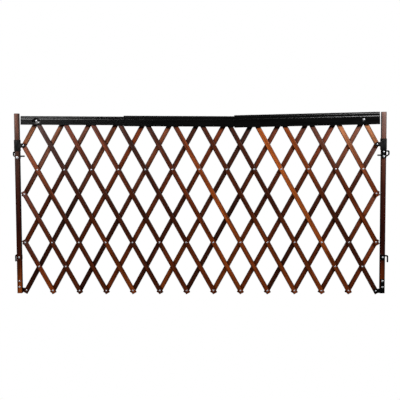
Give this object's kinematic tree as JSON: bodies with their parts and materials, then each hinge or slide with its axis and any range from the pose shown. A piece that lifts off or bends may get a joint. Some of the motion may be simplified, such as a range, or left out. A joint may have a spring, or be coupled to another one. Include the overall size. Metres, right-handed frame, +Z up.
{
  "type": "safety baby gate",
  "caption": "Expanding wooden lattice swing gate with end posts, telescoping black top rail, sliding sleeves, latches and hooks.",
  "frame": {"origin": "on the floor line under the middle of the fully extended gate", "axes": "+X along the gate to the right seen from the front, +Z up, -Y towards the front"},
  "size_m": [1.67, 0.0386, 0.8109],
  "materials": {
    "walnut_front": "lacquered dark walnut stain",
    "walnut_rear": "lacquered dark walnut stain",
    "walnut_post": "lacquered dark walnut stain",
    "black_rail": "satin black enamel",
    "black_plastic": "semi-matte moulded",
    "black_steel": "black coated",
    "zinc": "bright zinc plate"
  },
  "bodies": {
    "left_post": {"left_post": "walnut_post", "left_corner_bracket": "black_steel", "left_lower_hook": "black_steel", "left_hook_bolt": "zinc", "left_latch_plate": "black_steel", "left_latch_bolt": "zinc", "left_bracket_screw_upper": "zinc", "left_bracket_screw_lower": "zinc"},
    "right_post": {"right_post": "walnut_post", "right_corner_bracket": "black_steel", "right_lower_hook": "black_steel", "right_hook_bolt": "zinc", "right_latch_plate": "black_steel", "right_latch_bolt": "zinc", "right_bracket_screw_upper": "zinc", "right_bracket_screw_lower": "zinc"},
    "left_latch_lever": {"left_latch_lever": "black_steel"},
    "right_latch_lever": {"right_latch_lever": "black_steel"},
    "left_sleeve": {"left_sleeve": "black_plastic", "left_sleeve_bolt": "zinc"},
    "right_sleeve": {"right_sleeve": "black_plastic", "right_sleeve_bolt": "zinc"},
    "left_rail": {"left_rail": "black_rail", "left_rail_bolt": "zinc"},
    "middle_rail": {"middle_rail": "black_rail"},
    "right_rail": {"right_rail": "black_rail", "right_rail_bolt": "zinc"},
    "rear_slat_01": {"rear_slat_01": "walnut_rear"},
    "rear_slat_02": {"rear_slat_02": "walnut_rear"},
    "rear_slat_03": {"rear_slat_03": "walnut_rear"},
    "rear_slat_04": {"rear_slat_04": "walnut_rear"},
    "rear_slat_05": {"rear_slat_05": "walnut_rear"},
    "rear_slat_06": {"rear_slat_06": "walnut_rear"},
    "rear_slat_07": {"rear_slat_07": "walnut_rear"},
    "rear_slat_08": {"rear_slat_08": "walnut_rear"},
    "rear_slat_09": {"rear_slat_09": "walnut_rear"},
    "rear_slat_10": {"rear_slat_10": "walnut_rear"},
    "rear_slat_11": {"rear_slat_11": "walnut_rear"},
    "rear_slat_12": {"rear_slat_12": "walnut_rear"},
    "rear_slat_13": {"rear_slat_13": "walnut_rear"},
    "rear_slat_14": {"rear_slat_14": "walnut_rear"},
    "rear_slat_15": {"rear_slat_15": "walnut_rear"},
    "rear_slat_16": {"rear_slat_16": "walnut_rear"},
    "front_slat_01": {"front_slat_01": "walnut_front"},
    "front_slat_02": {"front_slat_02": "walnut_front"},
    "front_slat_03": {"front_slat_03": "walnut_front"},
    "front_slat_04": {"front_slat_04": "walnut_front"},
    "front_slat_05": {"front_slat_05": "walnut_front"},
    "front_slat_06": {"front_slat_06": "walnut_front"},
    "front_slat_07": {"front_slat_07": "walnut_front"},
    "front_slat_08": {"front_slat_08": "walnut_front"},
    "front_slat_09": {"front_slat_09": "walnut_front"},
    "front_slat_10": {"front_slat_10": "walnut_front"},
    "front_slat_11": {"front_slat_11": "walnut_front"},
    "front_slat_12": {"front_slat_12": "walnut_front"},
    "front_slat_13": {"front_slat_13": "walnut_front"},
    "front_slat_14": {"front_slat_14": "walnut_front"},
    "front_slat_15": {"front_slat_15": "walnut_front"},
    "front_slat_16": {"front_slat_16": "walnut_front"}
  },
  "joints": [
    {"name": "lattice_fold", "type": "hinge", "parent": "left_post", "child": "rear_slat_04", "pos_m": [-0.78151, 0, 0.01738], "axis": [0, -1, 0], "range_deg": [0, 17.6]},
    {"name": "front_slat_01_pivot", "type": "hinge", "parent": "rear_slat_04", "child": "front_slat_01", "pos_m": [-0.7214, 0, 0.12584], "axis": [0, 1, 0], "range_deg": [0, 35.2]},
    {"name": "front_slat_02_pivot", "type": "hinge", "parent": "rear_slat_04", "child": "front_slat_02", "pos_m": [-0.66128, 0, 0.23429], "axis": [0, 1, 0], "range_deg": [0, 35.2]},
    {"name": "front_slat_03_pivot", "type": "hinge", "parent": "rear_slat_04", "child": "front_slat_03", "pos_m": [-0.60116, 0, 0.34274], "axis": [0, 1, 0], "range_deg": [0, 35.2]},
    {"name": "front_slat_04_pivot", "type": "hinge", "parent": "rear_slat_04", "child": "front_slat_04", "pos_m": [-0.54105, 0, 0.4512], "axis": [0, 1, 0], "range_deg": [0, 35.2]},
    {"name": "front_slat_05_pivot", "type": "hinge", "parent": "rear_slat_04", "child": "front_slat_05", "pos_m": [-0.48093, 0, 0.55965], "axis": [0, 1, 0], "range_deg": [0, 35.2]},
    {"name": "front_slat_06_pivot", "type": "hinge", "parent": "rear_slat_04", "child": "front_slat_06", "pos_m": [-0.42081, 0, 0.6681], "axis": [0, 1, 0], "range_deg": [0, 35.2]},
    {"name": "front_slat_07_pivot", "type": "hinge", "parent": "rear_slat_04", "child": "front_slat_07", "pos_m": [-0.3607, 0, 0.77655], "axis": [0, 1, 0], "range_deg": [0, 35.2]},
    {"name": "rear_slat_03_pivot", "type": "hinge", "parent": "front_slat_01", "child": "rear_slat_03", "pos_m": [-0.78151, 0, 0.23429], "axis": [0, -1, 0], "range_deg": [0, 35.2]},
    {"name": "rear_slat_05_pivot", "type": "hinge", "parent": "front_slat_03", "child": "rear_slat_05", "pos_m": [-0.54105, 0, 0.23429], "axis": [0, -1, 0], "range_deg": [0, 35.2]},
    {"name": "rear_slat_02_pivot", "type": "hinge", "parent": "front_slat_02", "child": "rear_slat_02", "pos_m": [-0.78151, 0, 0.4512], "axis": [0, -1, 0], "range_deg": [0, 35.2]},
    {"name": "rear_slat_06_pivot", "type": "hinge", "parent": "front_slat_04", "child": "rear_slat_06", "pos_m": [-0.42081, 0, 0.23429], "axis": [0, -1, 0], "range_deg": [0, 35.2]},
    {"name": "rear_slat_01_pivot", "type": "hinge", "parent": "front_slat_03", "child": "rear_slat_01", "pos_m": [-0.78151, 0, 0.6681], "axis": [0, -1, 0], "range_deg": [0, 35.2]},
    {"name": "rear_slat_07_pivot", "type": "hinge", "parent": "front_slat_05", "child": "rear_slat_07", "pos_m": [-0.30058, 0, 0.23429], "axis": [0, -1, 0], "range_deg": [0, 35.2]},
    {"name": "rear_slat_08_pivot", "type": "hinge", "parent": "front_slat_06", "child": "rear_slat_08", "pos_m": [-0.18035, 0, 0.23429], "axis": [0, -1, 0], "range_deg": [0, 35.2]},
    {"name": "rear_slat_09_pivot", "type": "hinge", "parent": "front_slat_07", "child": "rear_slat_09", "pos_m": [-0.06012, 0, 0.23429], "axis": [0, -1, 0], "range_deg": [0, 35.2]},
    {"name": "rear_slat_10_pivot", "type": "hinge", "parent": "front_slat_06", "child": "rear_slat_10", "pos_m": [-0.06012, 0, 0.01738], "axis": [0, -1, 0], "range_deg": [0, 35.2]},
    {"name": "rear_slat_11_pivot", "type": "hinge", "parent": "front_slat_07", "child": "rear_slat_11", "pos_m": [0.06012, 0, 0.01738], "axis": [0, -1, 0], "range_deg": [0, 35.2]},
    {"name": "front_slat_08_pivot", "type": "hinge", "parent": "rear_slat_07", "child": "front_slat_08", "pos_m": [-0.12023, 0, 0.55965], "axis": [0, 1, 0], "range_deg": [0, 35.2]},
    {"name": "front_slat_09_pivot", "type": "hinge", "parent": "rear_slat_08", "child": "front_slat_09", "pos_m": [0, 0, 0.55965], "axis": [0, 1, 0], "range_deg": [0, 35.2]},
    {"name": "front_slat_10_pivot", "type": "hinge", "parent": "rear_slat_09", "child": "front_slat_10", "pos_m": [0.12023, 0, 0.55965], "axis": [0, 1, 0], "range_deg": [0, 35.2]},
    {"name": "front_slat_11_pivot", "type": "hinge", "parent": "rear_slat_10", "child": "front_slat_11", "pos_m": [0.24047, 0, 0.55965], "axis": [0, 1, 0], "range_deg": [0, 35.2]},
    {"name": "front_slat_12_pivot", "type": "hinge", "parent": "rear_slat_11", "child": "front_slat_12", "pos_m": [0.3607, 0, 0.55965], "axis": [0, 1, 0], "range_deg": [0, 35.2]},
    {"name": "front_slat_13_pivot", "type": "hinge", "parent": "rear_slat_10", "child": "front_slat_13", "pos_m": [0.3607, 0, 0.77655], "axis": [0, 1, 0], "range_deg": [0, 35.2]},
    {"name": "front_slat_14_pivot", "type": "hinge", "parent": "rear_slat_11", "child": "front_slat_14", "pos_m": [0.48093, 0, 0.77655], "axis": [0, 1, 0], "range_deg": [0, 35.2]},
    {"name": "rear_slat_12_pivot", "type": "hinge", "parent": "front_slat_10", "child": "rear_slat_12", "pos_m": [0.30058, 0, 0.23429], "axis": [0, -1, 0], "range_deg": [0, 35.2]},
    {"name": "rear_slat_13_pivot", "type": "hinge", "parent": "front_slat_11", "child": "rear_slat_13", "pos_m": [0.42081, 0, 0.23429], "axis": [0, -1, 0], "range_deg": [0, 35.2]},
    {"name": "rear_slat_14_pivot", "type": "hinge", "parent": "front_slat_12", "child": "rear_slat_14", "pos_m": [0.54105, 0, 0.23429], "axis": [0, -1, 0], "range_deg": [0, 35.2]},
    {"name": "rear_slat_15_pivot", "type": "hinge", "parent": "front_slat_13", "child": "rear_slat_15", "pos_m": [0.66128, 0, 0.23429], "axis": [0, -1, 0], "range_deg": [0, 35.2]},
    {"name": "rear_slat_16_pivot", "type": "hinge", "parent": "front_slat_14", "child": "rear_slat_16", "pos_m": [0.78151, 0, 0.23429], "axis": [0, -1, 0], "range_deg": [0, 35.2]},
    {"name": "front_slat_15_pivot", "type": "hinge", "parent": "rear_slat_15", "child": "front_slat_15", "pos_m": [0.78151, 0, 0.4512], "axis": [0, 1, 0], "range_deg": [0, 35.2]},
    {"name": "front_slat_16_pivot", "type": "hinge", "parent": "rear_slat_14", "child": "front_slat_16", "pos_m": [0.78151, 0, 0.6681], "axis": [0, 1, 0], "range_deg": [0, 35.2]},
    {"name": "right_corner_pivot", "type": "hinge", "parent": "front_slat_13", "child": "right_post", "pos_m": [0.78151, 0, 0.01738], "axis": [0, -1, 0], "range_deg": [0, 17.6]},
    {"name": "left_sleeve_pivot", "type": "hinge", "parent": "front_slat_03", "child": "left_sleeve", "pos_m": [-0.78151, 0, 0.6681], "axis": [0, -1, 0], "range_deg": [0, 17.6]},
    {"name": "right_sleeve_pivot", "type": "hinge", "parent": "rear_slat_14", "child": "right_sleeve", "pos_m": [0.78151, 0, 0.6681], "axis": [0, 1, 0], "range_deg": [0, 17.6]},
    {"name": "left_rail_pivot", "type": "hinge", "parent": "front_slat_04", "child": "left_rail", "pos_m": [-0.7214, 0, 0.77655], "axis": [0, -1, 0], "range_deg": [0, 18.15]},
    {"name": "right_rail_pivot", "type": "hinge", "parent": "rear_slat_13", "child": "right_rail", "pos_m": [0.7214, 0, 0.77655], "axis": [0, 1, 0], "range_deg": [0, 18.73]},
    {"name": "middle_rail_slide", "type": "slide", "parent": "left_rail", "child": "middle_rail", "axis": [-1, 0, 0.0096], "range_m": [0, 0.378]},
    {"name": "left_latch_pivot", "type": "hinge", "parent": "left_post", "child": "left_latch_lever", "pos_m": [-0.81056, 0, 0.6146], "axis": [0, -1, 0], "range_deg": [0, 50], "stiffness_Nm_per_rad": 0.03, "springref_deg": -34.38},
    {"name": "right_latch_pivot", "type": "hinge", "parent": "right_post", "child": "right_latch_lever", "pos_m": [0.81056, 0, 0.6146], "axis": [0, 1, 0], "range_deg": [0, 50], "stiffness_Nm_per_rad": 0.03, "springref_deg": -34.38}
  ],
  "couplings": [
    {"joint": "front_slat_01_pivot", "follows": "lattice_fold", "ratio": 2},
    {"joint": "front_slat_02_pivot", "follows": "lattice_fold", "ratio": 2},
    {"joint": "front_slat_03_pivot", "follows": "lattice_fold", "ratio": 2},
    {"joint": "front_slat_04_pivot", "follows": "lattice_fold", "ratio": 2},
    {"joint": "front_slat_05_pivot", "follows": "lattice_fold", "ratio": 2},
    {"joint": "front_slat_06_pivot", "follows": "lattice_fold", "ratio": 2},
    {"joint": "front_slat_07_pivot", "follows": "lattice_fold", "ratio": 2},
    {"joint": "rear_slat_03_pivot", "follows": "lattice_fold", "ratio": 2},
    {"joint": "rear_slat_05_pivot", "follows": "lattice_fold", "ratio": 2},
    {"joint": "rear_slat_02_pivot", "follows": "lattice_fold", "ratio": 2},
    {"joint": "rear_slat_06_pivot", "follows": "lattice_fold", "ratio": 2},
    {"joint": "rear_slat_01_pivot", "follows": "lattice_fold", "ratio": 2},
    {"joint": "rear_slat_07_pivot", "follows": "lattice_fold", "ratio": 2},
    {"joint": "rear_slat_08_pivot", "follows": "lattice_fold", "ratio": 2},
    {"joint": "rear_slat_09_pivot", "follows": "lattice_fold", "ratio": 2},
    {"joint": "rear_slat_10_pivot", "follows": "lattice_fold", "ratio": 2},
    {"joint": "rear_slat_11_pivot", "follows": "lattice_fold", "ratio": 2},
    {"joint": "front_slat_08_pivot", "follows": "lattice_fold", "ratio": 2},
    {"joint": "front_slat_09_pivot", "follows": "lattice_fold", "ratio": 2},
    {"joint": "front_slat_10_pivot", "follows": "lattice_fold", "ratio": 2},
    {"joint": "front_slat_11_pivot", "follows": "lattice_fold", "ratio": 2},
    {"joint": "front_slat_12_pivot", "follows": "lattice_fold", "ratio": 2},
    {"joint": "front_slat_13_pivot", "follows": "lattice_fold", "ratio": 2},
    {"joint": "front_slat_14_pivot", "follows": "lattice_fold", "ratio": 2},
    {"joint": "rear_slat_12_pivot", "follows": "lattice_fold", "ratio": 2},
    {"joint": "rear_slat_13_pivot", "follows": "lattice_fold", "ratio": 2},
    {"joint": "rear_slat_14_pivot", "follows": "lattice_fold", "ratio": 2},
    {"joint": "rear_slat_15_pivot", "follows": "lattice_fold", "ratio": 2},
    {"joint": "rear_slat_16_pivot", "follows": "lattice_fold", "ratio": 2},
    {"joint": "front_slat_15_pivot", "follows": "lattice_fold", "ratio": 2},
    {"joint": "front_slat_16_pivot", "follows": "lattice_fold", "ratio": 2},
    {"joint": "right_corner_pivot", "follows": "lattice_fold", "ratio": 1},
    {"joint": "left_sleeve_pivot", "follows": "lattice_fold", "ratio": 1},
    {"joint": "right_sleeve_pivot", "follows": "lattice_fold", "ratio": 1},
    {"joint": "left_rail_pivot", "follows": "lattice_fold", "ratio": 1.0312},
    {"joint": "right_rail_pivot", "follows": "lattice_fold", "ratio": 1.0642},
    {"joint": "middle_rail_slide", "follows": "lattice_fold", "m_per_rad": 1.2305}
  ]
}
